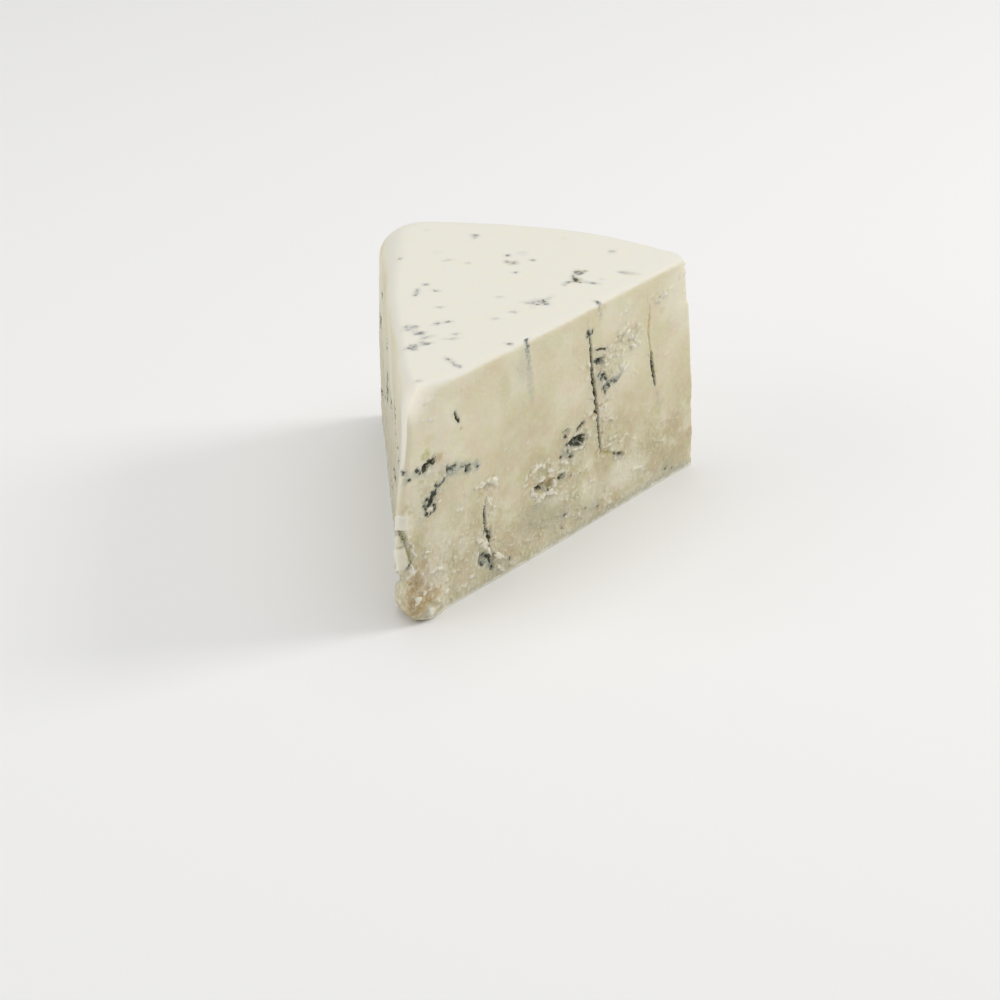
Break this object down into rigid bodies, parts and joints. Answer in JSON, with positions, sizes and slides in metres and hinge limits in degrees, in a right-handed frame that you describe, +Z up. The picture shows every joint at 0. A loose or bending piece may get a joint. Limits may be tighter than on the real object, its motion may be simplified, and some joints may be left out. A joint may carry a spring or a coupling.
{
  "type": "blue cheese wedge",
  "caption": "Wedge of pale, blue-veined cheese with a smooth top, cracked and pitted cut faces and a crumbled tip, standing on its flat underside.",
  "frame": {"origin": "middle of the bounding box on the plane of the flat underside", "axes": "+Z up, +Y from the tip towards the rounded rim along the middle of the wedge"},
  "size_m": [0.0787, 0.0987, 0.0565],
  "materials": {
    "cheese": "moist, soft cut cheese, ivory with blue-green mould veins"
  },
  "bodies": {
    "root": {"cheese_wedge": "cheese"}
  },
  "joints": []
}
